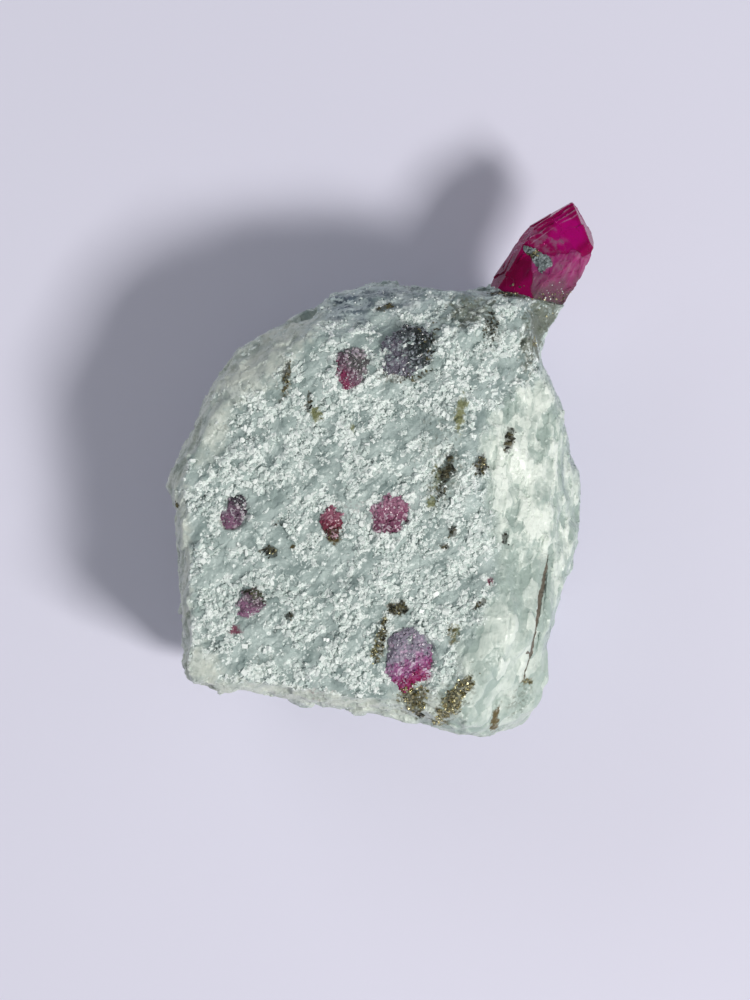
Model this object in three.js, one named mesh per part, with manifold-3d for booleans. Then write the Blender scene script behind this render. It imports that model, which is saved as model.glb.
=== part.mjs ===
// Ruby in matrix: a hand specimen of pale granular marble. One ruby crystal stands out of its
// shoulder and smaller rubies sit in its broken face. The stone lies on its flat back, face up.
// Millimetres, +Z up. X runs across the face and Y along it, towards the standing crystal.

import * as THREE from 'three';
import { mergeVertices } from 'three/addons/utils/BufferGeometryUtils.js';
import { ImprovedNoise } from 'three/addons/math/ImprovedNoise.js';
import Module from 'manifold-3d';

const wasm = await Module();
wasm.setup();

// Driving dimensions of the stone
const LEFT = -23.1;
const RIGHT = 22.3;
const TOP = 20.6;
const BOTTOM = -29.4;
const FACE_HEIGHT = 24.6; // granular face above the resting face
const FLANK_HEIGHT = 11; // where the stone is widest, above the resting face

// How rough the broken rock is
const FACET = 1.7; // spacing of the facets' corners
const LEDGE = { size: 7.5, height: 1.1, steps: 3 }; // stepped breaks
const GRAIN = { size: 2.1, height: 0.55 }; // lumps and pits

// How the rubies sit in the rock
const SEAT_GAP = 0.3;
const SEAT_DEPTH = 2.4;
const CROWN_HEIGHT = 0.55; // how far a ruby stands proud of the face
const CROWN_SHARE = 0.62; // flat top of a ruby, as a share of its width

// The standing crystal: a six-sided barrel whose axis starts inside the rock
const CRYSTAL = {
  foot: [13.1, 15, 13.6],
  towards: 56.5, // degrees from +X, seen from above
  lean: 83, // degrees from upright
  spin: 100, // degrees about its own axis
  radius: 4.25,
  buried: 5,
  length: 17,
};

const UP = new THREE.Vector3(0, 0, 1);
const SIDES = 6;
const BEYOND = 120; // edge of the blocks that break pieces off, larger than the stone
const SPARE = 1.8; // rock left over above and below the stone, until it is broken to its faces
const WELD = 1e-4;
const TOWARDS_CORE = new THREE.Vector3(0.4, 0.4, 1); // the core is flat, and 0.6 as wide as the box
const ROUNDNESS = [24, 16]; // facets round and down a ball that scoops or swells the stone

const radians = THREE.MathUtils.degToRad;

// A direction given by its bearing from +X and its lean from upright, in degrees.
function direction(towards, lean) {
  const flat = Math.sin(radians(lean));
  return new THREE.Vector3(
    flat * Math.cos(radians(towards)),
    flat * Math.sin(radians(towards)),
    Math.cos(radians(lean)),
  );
}

// A closed three.js geometry as a solid that can be joined and cut.
function solidFrom(geometry) {
  const bare = geometry.index ? geometry.toNonIndexed() : geometry.clone();
  bare.deleteAttribute('normal');
  bare.deleteAttribute('uv');
  const merged = mergeVertices(bare, WELD);
  return new wasm.Manifold(new wasm.Mesh({
    numProp: 3,
    vertProperties: new Float32Array(merged.attributes.position.array),
    triVerts: new Uint32Array(merged.index.array),
  }));
}

// A solid's triangles as a three.js geometry.
function geometryFrom(solid) {
  const mesh = solid.getMesh();
  return new THREE.BufferGeometry()
    .setAttribute('position', new THREE.BufferAttribute(mesh.vertProperties, 3))
    .setIndex(new THREE.BufferAttribute(mesh.triVerts, 1));
}

// Breaks off all that lies beyond a plane, on the side that the plane faces.
function breakOff(solid, { at, towards, lean }) {
  const turn = new THREE.Quaternion().setFromUnitVectors(UP, direction(towards, lean));
  const block = new THREE.BoxGeometry(BEYOND, BEYOND, BEYOND)
    .translate(0, 0, BEYOND / 2)
    .applyQuaternion(turn)
    .translate(...at);
  return solid.subtract(solidFrom(block));
}

// A ball drawn out to three radii.
function ball(at, radii) {
  return new THREE.SphereGeometry(1, ...ROUNDNESS).scale(...radii).translate(...at);
}

// Scoops out a rounded hollow, as a shell-like chip leaves.
function scoop(solid, { at, radii }) {
  return solid.subtract(solidFrom(ball(at, radii)));
}

// Adds a rounded swelling.
function swell(solid, { at, radii }) {
  return solid.add(solidFrom(ball(at, radii)));
}

// Cuts a narrow slot, turned about Z and leaning sideways.
function slot(solid, { at, size, turn, lean }) {
  const blade = new THREE.BoxGeometry(...size)
    .rotateY(radians(lean))
    .rotateZ(radians(turn))
    .translate(...at);
  return solid.subtract(solidFrom(blade));
}

// The stone's outline seen from above: an arch with a shoulder for the crystal at its upper right.
function stoneOutline() {
  const point = (x, y) => new THREE.Vector2(x, y);
  const outline = new THREE.Shape();
  outline.moveTo(LEFT + 1.4, BOTTOM + 5.6);
  outline.lineTo(LEFT + 12, BOTTOM + 3.8);
  outline.lineTo(6.5, BOTTOM + 0.4);
  outline.splineThru([point(12.6, BOTTOM), point(16.4, BOTTOM + 2.3), point(18.7, BOTTOM + 6.2)]);
  outline.lineTo(18.3, BOTTOM + 9.2);
  outline.splineThru([point(19.2, -16), point(21.2, -10.4), point(RIGHT, -4), point(19.4, 6.8), point(17.1, 13.1)]);
  outline.lineTo(16.6, 18.6);
  outline.lineTo(12.3, TOP - 0.1);
  outline.lineTo(8.4, TOP - 1.2);
  outline.splineThru([point(3, TOP - 0.6), point(-1.5, TOP), point(-6.2, TOP - 1.3)]);
  outline.splineThru([point(-13.8, 14.6), point(-19.2, 7.7), point(LEFT, -1.5)]);
  outline.closePath();
  return outline;
}

// Fracture planes round the stone, each through a point on the edge that it makes.
const FACE_FRACTURES = [
  { at: [-5, -5, FACE_HEIGHT], towards: 250, lean: 2 }, // granular face
  { at: [11.4, -4, FACE_HEIGHT - 0.3], towards: 8, lean: 31 }, // cleaved right face
  { at: [19, -4, FACE_HEIGHT - 5.1], towards: 2, lean: 60 }, // right rim
  { at: [0, 14.6, FACE_HEIGHT - 0.3], towards: 88, lean: 42 }, // top slope
  { at: [-9, 14.4, FACE_HEIGHT - 0.6], towards: 118, lean: 50 }, // top left bevel
  { at: [-18.6, 6.4, FACE_HEIGHT - 0.5], towards: 148, lean: 56 }, // upper left bevel
  { at: [LEFT + 1.2, -10, FACE_HEIGHT - 0.8], towards: 182, lean: 74 }, // left rim
  { at: [-6, BOTTOM + 4.3, FACE_HEIGHT - 0.6], towards: 263, lean: 70 }, // bottom rim
  { at: [14.4, -23, FACE_HEIGHT - 3.2], towards: 318, lean: 46 }, // lower right corner
];
const BACK_FRACTURES = [
  { at: [LEFT, -8, FLANK_HEIGHT], towards: 176, lean: 116 },
  { at: [LEFT + 3, 6, FLANK_HEIGHT + 2], towards: 150, lean: 128 },
  { at: [-6, TOP - 1, FLANK_HEIGHT + 2], towards: 104, lean: 124 },
  { at: [16.4, 17.5, FLANK_HEIGHT - 3], towards: 48, lean: 126 },
  { at: [RIGHT, -5, FLANK_HEIGHT - 2], towards: 4, lean: 118 },
  { at: [17, -25, FLANK_HEIGHT - 1], towards: 312, lean: 124 },
  { at: [0, BOTTOM + 1.4, FLANK_HEIGHT - 2], towards: 265, lean: 112 },
  { at: [LEFT + 2, BOTTOM + 6, FLANK_HEIGHT - 4], towards: 218, lean: 130 },
];
const CHIPS = [
  { at: [-17.5, 14.5, 26], radii: [6.5, 5, 5] }, // smooth hollow on the upper left bevel
  { at: [7.6, 23.4, 19.5], radii: [3.2, 4.2, 6] }, // dip beside the shoulder
  { at: [21.8, -21.5, 20.5], radii: [3, 4.4, 6.5] }, // bite in the lower right side
  { at: [-26, -17, 5], radii: [5, 9, 6] }, // broken flank, low on the left
];
const COLLARS = [
  { at: [14.9, 16.2, 13.2], radii: [3.5, 4.4, 5.6] }, // rock round the crystal's root
  { at: [17.1, 17.8, 13.4], radii: [2.1, 2.1, 3.4] }, // skirt up the crystal's right side
];
const FISSURE = { at: [17.3, -16.6, 20.8], size: [0.7, 14, 5], turn: -8, lean: 14 };

// The stone as broken: flat fractures, hollow chips and the collars, before it is roughened.
function brokenStone() {
  const block = new THREE.ExtrudeGeometry(stoneOutline(), {
    depth: FACE_HEIGHT + 2 * SPARE,
    bevelEnabled: false,
    curveSegments: 6,
  }).translate(0, 0, -SPARE);
  const broken = [...FACE_FRACTURES, ...BACK_FRACTURES].reduce(breakOff, solidFrom(block));
  const chipped = CHIPS.reduce(scoop, broken);
  return COLLARS.reduce(swell, chipped);
}

// Lays an even net of facets over a solid. Each corner of the net starts on a box round the solid and
// moves towards the flat core inside it until it meets the surface.
function draped(solid) {
  const surface = new THREE.Mesh(geometryFrom(solid), new THREE.MeshBasicMaterial());
  const box = new THREE.Box3().setFromObject(surface).expandByScalar(FACET);
  const middle = box.getCenter(new THREE.Vector3());
  const size = box.getSize(new THREE.Vector3());
  const steps = size.clone().divideScalar(FACET).round();
  const around = new THREE.BoxGeometry(...size, ...steps).translate(...middle);
  around.deleteAttribute('normal');
  around.deleteAttribute('uv');
  const net = mergeVertices(around, WELD);
  const { position } = net.attributes;
  const corner = new THREE.Vector3();
  const inwards = new THREE.Vector3();
  for (let i = 0; i < position.count; i += 1) {
    corner.fromBufferAttribute(position, i);
    inwards.subVectors(middle, corner).multiply(TOWARDS_CORE).normalize();
    const [hit] = new THREE.Raycaster(corner, inwards).intersectObject(surface);
    position.setXYZ(i, ...hit.point);
  }
  return net;
}

// Drapes a solid with facets and moves their corners in and out by noise.
function roughened(solid) {
  const noise = new ImprovedNoise();
  const rough = draped(solid);
  rough.computeVertexNormals();
  const { position, normal } = rough.attributes;
  const corner = new THREE.Vector3();
  const outwards = new THREE.Vector3();
  const noiseAt = (size) => noise.noise(corner.x / size, corner.y / size, corner.z / size);
  for (let i = 0; i < position.count; i += 1) {
    corner.fromBufferAttribute(position, i);
    outwards.fromBufferAttribute(normal, i);
    const step = Math.round(noiseAt(LEDGE.size) * LEDGE.steps) / LEDGE.steps;
    corner.addScaledVector(outwards, step * LEDGE.height + noiseAt(GRAIN.size) * GRAIN.height);
    position.setXYZ(i, ...corner);
  }
  return solidFrom(rough);
}

// A six-sided crystal, turned from a profile of [radius, height] pairs, standing on Z = 0.
function hexagonal(profile) {
  const points = profile.map(([radius, height]) => new THREE.Vector2(radius, height));
  return new THREE.LatheGeometry(points, SIDES).rotateX(Math.PI / 2);
}

// Puts a shape made about the Z axis on the standing crystal's axis.
function onCrystalAxis(geometry) {
  const along = direction(CRYSTAL.towards, CRYSTAL.lean);
  const turn = new THREE.Quaternion().setFromUnitVectors(UP, along);
  return geometry
    .rotateZ(radians(CRYSTAL.spin))
    .applyQuaternion(turn)
    .translate(...CRYSTAL.foot);
}

// The standing crystal's barrel, larger all round by the margin that its seat needs.
function crystalBarrel(margin) {
  const { radius, buried, length } = CRYSTAL;
  return onCrystalAxis(hexagonal([
    [0, -margin],
    [radius * 0.8 + margin, -margin],
    [radius + margin, buried],
    [radius * 1.02 + margin, length * 0.62],
    [radius * 0.86 + margin, length * 0.86],
    [radius * 0.42 + margin, length + margin],
    [0, length + margin],
  ]));
}

// Broken faces and parting steps that give the standing crystal its chisel end.
const CRYSTAL_BREAKS = [
  { at: [20.8, 29.8, 14], towards: 122, lean: 82 }, // long upper left face
  { at: [21.9, 29.2, 14], towards: 28, lean: 78 }, // short upper right face
  { at: [19.6, 24.6, 17.2], towards: 92, lean: 20 }, // glassy end face
];
const CRYSTAL_STEPS = [
  { at: [14.6, 22.6, 18.6], size: [3, 7.5, 2.4], turn: -34, lean: -18 }, // lower left window
  { at: [16.7, 27.8, 16.2], size: [0.9, 5, 4], turn: -58, lean: 0 }, // parting step on the edge
];

function standingCrystal() {
  const broken = CRYSTAL_BREAKS.reduce(breakOff, solidFrom(crystalBarrel(0)));
  return CRYSTAL_STEPS.reduce(slot, broken);
}

// Rubies in the granular face, by the place, width, length and turn of each one's section.
const FACE_RUBIES = [
  { name: 'ruby_lower', at: [3, -21.1], width: 5.2, length: 7, turn: -8 },
  { name: 'ruby_round', at: [0.9, -5.1], width: 4.3, length: 4.5, turn: 15 },
  { name: 'ruby_small', at: [-5.6, -6.1], width: 2.4, length: 3.9, turn: 8 },
  { name: 'ruby_left', at: [-16.4, -4.8], width: 2.7, length: 4.2, turn: -25 },
  { name: 'ruby_corner', at: [-14.6, -14.9], width: 2.6, length: 3.3, turn: -30 },
  { name: 'ruby_upper', at: [-3.4, 11], width: 3.5, length: 4.3, turn: -15 },
  { name: 'ruby_dark', at: [2.8, 12.9], width: 4.9, length: 6.6, turn: -50 },
];

// Height of a rough surface straight below a point above it.
function heightAt(surface, x, y) {
  const fromAbove = new THREE.Vector3(x, y, BEYOND);
  const ray = new THREE.Raycaster(fromAbove, UP.clone().negate());
  return ray.intersectObject(surface)[0].point.z;
}

// A face ruby where it lies on the rock, larger all round by the margin that its seat needs.
function faceRuby({ at: [x, y], width, length, turn }, surface, margin) {
  const reach = length / 3;
  const acrossSlope = (heightAt(surface, x + reach, y) - heightAt(surface, x - reach, y)) / (2 * reach);
  const alongSlope = (heightAt(surface, x, y + reach) - heightAt(surface, x, y - reach)) / (2 * reach);
  const outwards = new THREE.Vector3(-acrossSlope, -alongSlope, 1).normalize();
  const tilt = new THREE.Quaternion().setFromUnitVectors(UP, outwards);
  return hexagonal([
    [0, -SEAT_DEPTH - margin],
    [1, -SEAT_DEPTH - margin],
    [1, margin],
    [CROWN_SHARE, CROWN_HEIGHT + margin],
    [0, CROWN_HEIGHT + margin],
  ])
    .scale(width / 2 + margin, length / 2 + margin, 1)
    .rotateZ(radians(turn))
    .applyQuaternion(tilt)
    .translate(x, y, heightAt(surface, x, y));
}

const marble = new THREE.MeshStandardMaterial({ color: 0xb4c1bc, roughness: 0.62, metalness: 0 });
const ruby = new THREE.MeshStandardMaterial({ color: 0x8e1260, roughness: 0.2, metalness: 0 });
const granularRuby = new THREE.MeshStandardMaterial({ color: 0x92607f, roughness: 0.45, metalness: 0 });
const darkRuby = new THREE.MeshStandardMaterial({ color: 0x5c5866, roughness: 0.5, metalness: 0 });

function named(name, solid, material) {
  const mesh = new THREE.Mesh(geometryFrom(solid), material);
  mesh.name = name;
  return mesh;
}

// The whole specimen: the rock with its seats cut, then the rubies in them.
function specimen() {
  const rough = roughened(brokenStone());
  const surface = new THREE.Mesh(geometryFrom(rough), marble);
  const seats = FACE_RUBIES.map((each) => solidFrom(faceRuby(each, surface, SEAT_GAP)));
  const seated = [...seats, solidFrom(crystalBarrel(SEAT_GAP))].reduce(
    (rock, seat) => rock.subtract(seat),
    slot(rough, FISSURE),
  );
  const rock = breakOff(seated, { at: [0, 0, 0], towards: 0, lean: 180 });

  const group = new THREE.Group();
  group.add(named('matrix', rock, marble));
  group.add(named('ruby_crystal', standingCrystal(), ruby));
  FACE_RUBIES.forEach((each) => {
    const material = each.name === 'ruby_dark' ? darkRuby : granularRuby;
    group.add(named(each.name, solidFrom(faceRuby(each, surface, 0)), material));
  });

  // The origin is the middle of the specimen's box, on the surface that it lies on.
  const middle = new THREE.Box3().setFromObject(group).getCenter(new THREE.Vector3());
  group.position.set(-middle.x, -middle.y, 0);
  return group;
}

export default specimen();
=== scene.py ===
import math

import bpy
import numpy as np
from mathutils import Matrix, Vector, noise
from mathutils.bvhtree import BVHTree


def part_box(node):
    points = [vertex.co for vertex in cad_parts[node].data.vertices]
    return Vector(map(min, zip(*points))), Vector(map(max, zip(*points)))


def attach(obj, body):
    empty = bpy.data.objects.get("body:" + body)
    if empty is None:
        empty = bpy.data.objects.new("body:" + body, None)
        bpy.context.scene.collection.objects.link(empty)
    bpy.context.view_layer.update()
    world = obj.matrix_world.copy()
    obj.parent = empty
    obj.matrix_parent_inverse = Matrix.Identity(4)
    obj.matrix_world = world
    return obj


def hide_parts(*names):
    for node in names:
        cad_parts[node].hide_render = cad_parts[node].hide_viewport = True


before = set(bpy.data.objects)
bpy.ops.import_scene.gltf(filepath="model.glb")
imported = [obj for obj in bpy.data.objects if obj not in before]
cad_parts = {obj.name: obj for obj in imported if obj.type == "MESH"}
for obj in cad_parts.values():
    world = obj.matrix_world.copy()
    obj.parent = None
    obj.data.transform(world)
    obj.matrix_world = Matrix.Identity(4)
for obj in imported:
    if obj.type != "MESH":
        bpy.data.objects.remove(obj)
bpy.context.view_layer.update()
mm = 0.001
weldDistance = 0.001  # mm
rayHeight = 100       # mm, above the whole stone

# Places on the face are in mm from the middle of the round ruby, x across and y along the face.
roundLow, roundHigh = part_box("ruby_round")
faceMiddle = (roundLow + roundHigh) / 2 / mm
print("frame loaded, round ruby at", [round(value, 2) for value in faceMiddle])


# Helpers for objects and meshes

def addObject(name, data):
    thing = bpy.data.objects.new(name, data)
    bpy.context.scene.collection.objects.link(thing)
    return thing


def pickOnly(piece):
    bpy.ops.object.select_all(action="DESELECT")
    piece.select_set(True)
    bpy.context.view_layer.objects.active = piece


def editAll(piece):
    pickOnly(piece)
    bpy.ops.object.mode_set(mode="EDIT")
    bpy.ops.mesh.select_all(action="SELECT")


def endEdit():
    bpy.ops.object.mode_set(mode="OBJECT")


def applyModifier(piece, kind, **values):
    modifier = piece.modifiers.new(kind.lower(), kind)
    for key, value in values.items():
        setattr(modifier, key, value)
    pickOnly(piece)
    bpy.ops.object.modifier_apply(modifier=modifier.name)


def applyNodes(piece, group, **values):
    modifier = piece.modifiers.new(group.name, "NODES")
    modifier.node_group = group
    for item in group.interface.items_tree:
        if item.in_out == "INPUT" and item.name in values:
            modifier[item.identifier] = values[item.name]
    pickOnly(piece)
    bpy.ops.object.modifier_apply(modifier=modifier.name)


def soften(piece, rounds):
    applyModifier(piece, "SMOOTH", factor=0.5, iterations=rounds)


def remesh(piece, voxel, settle=0):
    applyModifier(piece, "REMESH", mode="VOXEL", voxel_size=voxel * mm)
    if settle:
        soften(piece, settle)


def copyNode(nodeName, pieceName):
    piece = addObject(pieceName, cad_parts[nodeName].data.copy())
    piece.data.materials.clear()
    editAll(piece)
    bpy.ops.mesh.customdata_custom_splitnormals_clear()
    bpy.ops.mesh.remove_doubles(threshold=weldDistance * mm)
    endEdit()
    return piece


def joinAll(piece, parts):
    pickOnly(piece)
    for part in parts:
        part.select_set(True)
    bpy.ops.object.join()


def readVertices(piece, key):
    flat = np.empty(len(piece.data.vertices) * 3)
    piece.data.vertices.foreach_get(key, flat)
    return flat.reshape(-1, 3)


def pointsOf(piece):
    return readVertices(piece, "co") / mm


def placePoints(piece, points):
    piece.data.vertices.foreach_set("co", (points * mm).ravel())
    piece.data.update()


def paint(piece, name, values):
    layer = piece.data.attributes.new(name, "FLOAT", "POINT")
    layer.data.foreach_set("value", np.clip(values, 0, 1).astype(np.float32))


def ramp(values, start, end):
    share = np.clip((values - start) / (end - start), 0, 1)
    return share * share * (3 - 2 * share)


def atLeast(least, share):
    return least + (1 - least) * share


def cloud(points, size, seed):
    away = Vector((seed, seed * 0.7, -seed))
    return np.array([noise.noise(Vector(point) / size + away) for point in points])


def wavered(values, points, clouds):
    for amount, size, seed in clouds:
        values = values + amount * cloud(points, size, seed)
    return values


def heightOn(tree, x, y, otherwise=0):
    hit = tree.ray_cast(Vector((x, y, rayHeight)) * mm, Vector((0, 0, -1)))[0]
    return hit.z / mm if hit else otherwise


def settlePiece(piece, slot, *nodes):
    if nodes:
        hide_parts(*nodes)
    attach(piece, "root")
    print(piece.name + ",", len(piece.data.polygons), "faces")


# Helpers for nodes and materials

def addNode(tree, kind, inputs=None, **settings):
    node = tree.nodes.new(kind)
    for key, value in settings.items():
        setattr(node, key, value)
    for key, value in (inputs or {}).items():
        if isinstance(value, bpy.types.NodeSocket):
            tree.links.new(value, node.inputs[key])
        else:
            node.inputs[key].default_value = value
    return node


def newGroup(name, kind, inputs, outputs):
    group = bpy.data.node_groups.new(name, kind)
    for way, sockets in (("INPUT", inputs), ("OUTPUT", outputs)):
        for socketName, socketKind in sockets.items():
            group.interface.new_socket(socketName, in_out=way, socket_type="NodeSocket" + socketKind)
    return group, group.nodes.new("NodeGroupInput").outputs, group.nodes.new("NodeGroupOutput").inputs


def calculate(tree, operation, first, second=0.0, third=0.0):
    return addNode(tree, "ShaderNodeMath", {0: first, 1: second, 2: third}, operation=operation).outputs[0]


def addTimes(tree, value, times, start):
    return calculate(tree, "MULTIPLY_ADD", value, times, start)


def vectors(tree, operation, first, second):
    result = "Value" if operation == "DOT_PRODUCT" else "Vector"
    return addNode(tree, "ShaderNodeVectorMath", {0: first, 1: second}, operation=operation).outputs[result]


def scaled(tree, vector, by):
    node = addNode(tree, "ShaderNodeVectorMath", {0: vector, "Scale": by}, operation="SCALE")
    return node.outputs["Vector"]


def partsOf(tree, vector):
    return addNode(tree, "ShaderNodeSeparateXYZ", {0: vector}).outputs


def stepped(tree, value, start, end, low=0.0, high=1.0):
    return addNode(tree, "ShaderNodeMapRange", {
        "Value": value, "From Min": start, "From Max": end, "To Min": low, "To Max": high,
    }, interpolation_type="SMOOTHSTEP").outputs["Result"]


def srgb(red, green, blue):
    shares = [value / 255 for value in (red, green, blue)]
    linear = [share / 12.92 if share <= 0.04045 else ((share + 0.055) / 1.055) ** 2.4 for share in shares]
    return (*linear, 1)


def mixColour(tree, factor, below, above):
    return addNode(tree, "ShaderNodeMix", {0: factor, 6: below, 7: above}, data_type="RGBA").outputs[2]


def zoneMask(tree, name):
    return addNode(tree, "ShaderNodeAttribute", attribute_name=name).outputs["Fac"]


def objectPlace(tree):
    return addNode(tree, "ShaderNodeTexCoord").outputs["Object"]


def inMillimetres(tree):
    return scaled(tree, objectPlace(tree), 1 / mm)


def turnedPlace(tree, place, turn, lengths):
    return addNode(tree, "ShaderNodeMapping", {
        "Vector": place, "Rotation": (0, 0, turn), "Scale": lengths,
    }, vector_type="TEXTURE").outputs["Vector"]


def drawnPlace(tree, place, turn, stretch):
    turned = addNode(tree, "ShaderNodeVectorRotate", {"Vector": place, "Angle": turn}, rotation_type="Z_AXIS")
    return vectors(tree, "MULTIPLY", turned.outputs["Vector"], stretch)


def cloudNode(tree, place, size, detail=2.0):
    return addNode(tree, "ShaderNodeTexNoise", {
        "Vector": place, "Scale": 1 / size, "Detail": detail,
    }).outputs["Fac"]


def tiltedCells(tree, place, size, cut="EUCLIDEAN"):
    often = calculate(tree, "DIVIDE", 1.0, size)
    cell = addNode(tree, "ShaderNodeTexVoronoi", {"Vector": place, "Scale": often}, distance=cut).outputs
    arm = vectors(tree, "SUBTRACT", place, cell["Position"])
    lean = vectors(tree, "SUBTRACT", cell["Color"], (0.5, 0.5, 0.5))
    return cell, vectors(tree, "DOT_PRODUCT", arm, lean)


def newMaterial(name, body):
    material = bpy.data.materials.new(name)
    material.use_nodes = True
    tree = material.node_tree
    shader = tree.nodes["Principled BSDF"].inputs
    for socket, value in body.items():
        shader[socket].default_value = value
    return material, tree, shader


def dressStone(tree, shader, plan, colour, dullness, height):
    strength, distance = plan["bump"]
    bump = addNode(tree, "ShaderNodeBump", {"Height": height, "Strength": strength, "Distance": distance})
    tree.links.new(colour, shader["Base Color"])
    tree.links.new(stepped(tree, dullness, 0, 1, *plan["roughness"]), shader["Roughness"])
    tree.links.new(bump.outputs["Normal"], shader["Normal"])


# Camera, light and floor

cameraPlan = {
    "pictureHeight": 1000,   # px
    "scale": 8.9,            # px to the mm at the silhouette
    "middle": (-1.69, 1.4),  # mm on the face, in the middle of the picture
    "distance": 620,         # mm above the silhouette
    "silhouette": 14,        # mm above the floor
    "sensor": 36,            # mm
}


def makeCamera():
    plan = cameraPlan
    tall = plan["pictureHeight"] / plan["scale"]
    data = bpy.data.cameras.new("camera")
    data.sensor_width = plan["sensor"]
    data.lens = plan["sensor"] * plan["distance"] / tall
    camera = addObject("camera", data)
    camera.location = (
        (faceMiddle.x + plan["middle"][0]) * mm,
        (faceMiddle.y + plan["middle"][1]) * mm,
        (plan["silhouette"] + plan["distance"]) * mm,
    )
    bpy.context.scene.camera = camera


lightPlan = {
    "key": {"from": (0.58, -0.44, 0.92), "distance": 0.9, "size": 0.22, "power": 6.4,
            "colour": (1, 0.98, 0.94), "mirrored": True},
    "fill": {"from": (-0.9, 0.8, 0.55), "distance": 1.1, "size": 0.7, "power": 2.2,
             "colour": (0.95, 0.98, 1), "mirrored": False},
}
worldPlan = {"colour": (0.97, 0.98, 1), "strength": 0.28}


def makeLight(name):
    plan = lightPlan[name]
    data = bpy.data.lights.new(name, "AREA")
    data.size = plan["size"]
    data.energy = plan["power"]
    data.color = plan["colour"]
    light = addObject(name, data)
    towards = Vector(plan["from"]).normalized()
    light.location = towards * plan["distance"]
    light.rotation_euler = towards.to_track_quat("Z", "Y").to_euler()
    light.visible_glossy = plan["mirrored"]


def makeWorld():
    world = bpy.data.worlds.new("studio")
    world.use_nodes = True
    background = world.node_tree.nodes["Background"].inputs
    background["Color"].default_value = (*worldPlan["colour"], 1)
    background["Strength"].default_value = worldPlan["strength"]
    bpy.context.scene.world = world


floorPlan = {
    "size": 3,  # m
    "colour": srgb(222, 221, 238),
    "shade": srgb(217, 216, 234),
    "patch": 0.12,  # m
    "body": {"Roughness": 0.9},
}


def makeFloor():
    plan = floorPlan
    bpy.ops.object.select_all(action="DESELECT")
    bpy.ops.mesh.primitive_plane_add(size=plan["size"])
    floor = bpy.context.active_object
    floor.name = "floor"
    material, tree, shader = newMaterial("paper", plan["body"])
    patch = cloudNode(tree, objectPlace(tree), plan["patch"])
    tree.links.new(mixColour(tree, patch, plan["shade"], plan["colour"]), shader["Base Color"])
    floor.data.materials.append(material)


makeCamera()
for lightName in lightPlan:
    makeLight(lightName)
makeWorld()
makeFloor()
bpy.context.scene.view_settings.view_transform = "Standard"
print("camera, lights and floor ready")


# Geometry node groups that break and scatter

def zoneField(group, name):
    return addNode(group, "GeometryNodeInputNamedAttribute", {"Name": name},
                   data_type="FLOAT").outputs["Attribute"]


def makeBrokenGrain(name, cut):
    group, given, result = newGroup(
        name, "GeometryNodeTree",
        {"Rock": "Geometry", "Zone": "String", "Cell": "Float", "Tilt": "Float", "Lift": "Float",
         "Stretch": "Vector", "Turn": "Float"},
        {"Rock": "Geometry"},
    )
    place = addNode(group, "GeometryNodeInputPosition").outputs["Position"]
    drawn = drawnPlace(group, place, given["Turn"], given["Stretch"])
    cell, slope = tiltedCells(group, drawn, given["Cell"], cut)
    tilted = calculate(group, "MULTIPLY", slope, given["Tilt"])
    tone = calculate(group, "SUBTRACT", partsOf(group, cell["Color"])["Y"], 0.5)
    height = addTimes(group, tone, given["Lift"], tilted)
    share = calculate(group, "MULTIPLY", height, zoneField(group, given["Zone"]))
    normal = addNode(group, "GeometryNodeInputNormal").outputs["Normal"]
    moved = addNode(group, "GeometryNodeSetPosition", {
        "Geometry": given["Rock"], "Offset": scaled(group, normal, share),
    })
    group.links.new(moved.outputs["Geometry"], result["Rock"])
    return group


brokenGrain = makeBrokenGrain("brokenGrain", "EUCLIDEAN")
brokenBlocks = makeBrokenGrain("brokenBlocks", "CHEBYCHEV")


def breakage(cell, tilt, lift, turn, stretch=(1, 1, 1)):
    # size of the cells and height of their steps in mm, slope of their tops
    return {"Cell": cell * mm, "Tilt": tilt, "Lift": lift * mm, "Stretch": stretch, "Turn": turn}


lonelyGrain = 0.4  # size of a grain that lies apart, as a share of one in a crowd


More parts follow.
